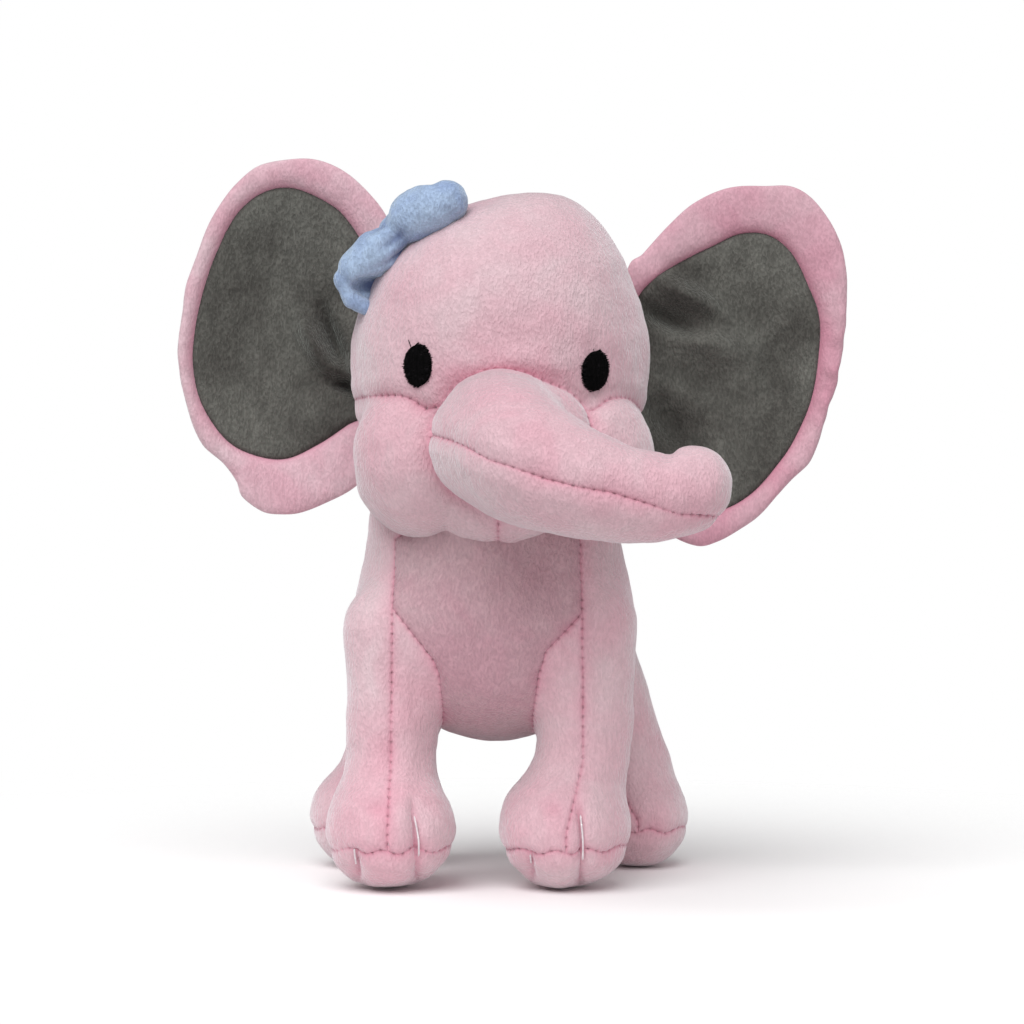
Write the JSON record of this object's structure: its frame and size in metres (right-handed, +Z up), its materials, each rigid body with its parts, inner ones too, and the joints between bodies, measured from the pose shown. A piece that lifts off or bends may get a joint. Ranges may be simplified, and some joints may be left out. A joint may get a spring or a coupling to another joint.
{
  "type": "stuffed elephant",
  "caption": "Soft plush elephant standing on four stuffed legs, with floppy lined ears, a raised curved trunk, embroidered eyes, stitched toes and a small bow on its head.",
  "frame": {"origin": "on the floor, under the middle of the toy's box", "axes": "+Z up; the elephant faces -Y; its own left side is at +X"},
  "size_m": [0.2335, 0.186, 0.2538],
  "materials": {
    "pink_plush": "short-pile plush",
    "rim_pink_plush": "short-pile plush",
    "grey_plush": "short-pile plush",
    "blue_plush": "short-pile plush",
    "black_embroidery": "satin stitch",
    "white_thread": "thread",
    "stuffing": "fibre filling"
  },
  "bodies": {
    "torso": {"torso_stuffing": "stuffing", "belly_panel": "pink_plush", "flank_panel_right": "pink_plush", "flank_panel_left": "pink_plush"},
    "head": {"head_stuffing": "stuffing", "crown_panel": "pink_plush", "cheek_panel_right": "pink_plush", "cheek_panel_left": "pink_plush", "back_head_panel_right": "pink_plush", "back_head_panel_left": "pink_plush", "eye_right": "black_embroidery", "eye_left": "black_embroidery", "bow_loop_lower": "blue_plush", "bow_loop_upper": "blue_plush", "bow_band": "blue_plush"},
    "trunk_root": {"trunk_root_stuffing": "stuffing", "trunk_root_upper_panel": "pink_plush", "trunk_root_lower_panel": "pink_plush"},
    "trunk_tip": {"trunk_tip_stuffing": "stuffing", "trunk_tip_upper_panel": "pink_plush", "trunk_tip_lower_panel": "pink_plush"},
    "tail": {"tail_stuffing": "stuffing", "tail_skin": "pink_plush"},
    "ear_right": {"ear_right_back_panel": "rim_pink_plush", "ear_right_padding": "stuffing", "ear_right_rim": "rim_pink_plush", "ear_right_lining": "grey_plush"},
    "front_leg_right": {"front_leg_right_stuffing": "stuffing", "front_leg_right_outer_panel": "pink_plush", "front_leg_right_inner_panel": "pink_plush", "front_leg_right_sole": "pink_plush", "front_leg_right_toe_threads": "white_thread"},
    "rear_leg_right": {"rear_leg_right_stuffing": "stuffing", "rear_leg_right_outer_panel": "pink_plush", "rear_leg_right_inner_panel": "pink_plush", "rear_leg_right_sole": "pink_plush"},
    "ear_left": {"ear_left_back_panel": "rim_pink_plush", "ear_left_padding": "stuffing", "ear_left_rim": "rim_pink_plush", "ear_left_lining": "grey_plush"},
    "front_leg_left": {"front_leg_left_stuffing": "stuffing", "front_leg_left_outer_panel": "pink_plush", "front_leg_left_inner_panel": "pink_plush", "front_leg_left_sole": "pink_plush", "front_leg_left_toe_threads": "white_thread"},
    "rear_leg_left": {"rear_leg_left_stuffing": "stuffing", "rear_leg_left_outer_panel": "pink_plush", "rear_leg_left_inner_panel": "pink_plush", "rear_leg_left_sole": "pink_plush"}
  },
  "joints": [
    {"name": "head_nod", "type": "hinge", "parent": "torso", "child": "head", "pos_m": [-0.005, 0.009, 0.122], "axis": [1, 0, 0], "range_deg": [-8, 8], "stiffness_Nm_per_rad": 1.5},
    {"name": "trunk_swing", "type": "hinge", "parent": "head", "child": "trunk_root", "pos_m": [-0.002, -0.025, 0.154], "axis": [0, 0, 1], "range_deg": [-15, 5], "stiffness_Nm_per_rad": 0.25},
    {"name": "trunk_tip_curl", "type": "hinge", "parent": "trunk_root", "child": "trunk_tip", "pos_m": [0.014, -0.075, 0.1385], "axis": [0, -1, 0], "range_deg": [-20, 20], "stiffness_Nm_per_rad": 0.12},
    {"name": "ear_right_flap", "type": "hinge", "parent": "head", "child": "ear_right", "pos_m": [-0.0455, 0.024, 0.18], "axis": [0, 0, 1], "range_deg": [-20, 20], "stiffness_Nm_per_rad": 0.15},
    {"name": "ear_left_flap", "type": "hinge", "parent": "head", "child": "ear_left", "pos_m": [0.0365, 0.024, 0.177], "axis": [0, 0, -1], "range_deg": [-20, 20], "stiffness_Nm_per_rad": 0.15},
    {"name": "front_leg_right_swing", "type": "hinge", "parent": "torso", "child": "front_leg_right", "pos_m": [-0.0406, 0.003, 0.095], "axis": [1, 0, 0], "range_deg": [-20, 6], "stiffness_Nm_per_rad": 0.9},
    {"name": "front_leg_left_swing", "type": "hinge", "parent": "torso", "child": "front_leg_left", "pos_m": [0.0244, 0.003, 0.095], "axis": [1, 0, 0], "range_deg": [-20, 6], "stiffness_Nm_per_rad": 0.9},
    {"name": "rear_leg_right_swing", "type": "hinge", "parent": "torso", "child": "rear_leg_right", "pos_m": [-0.039, 0.059, 0.072], "axis": [1, 0, 0], "range_deg": [-6, 20], "stiffness_Nm_per_rad": 0.9},
    {"name": "rear_leg_left_swing", "type": "hinge", "parent": "torso", "child": "rear_leg_left", "pos_m": [0.028, 0.059, 0.072], "axis": [1, 0, 0], "range_deg": [-6, 20], "stiffness_Nm_per_rad": 0.9},
    {"name": "tail_lift", "type": "hinge", "parent": "torso", "child": "tail", "pos_m": [-0.006, 0.0785, 0.09], "axis": [1, 0, 0], "range_deg": [0, 60], "stiffness_Nm_per_rad": 0.01}
  ]
}
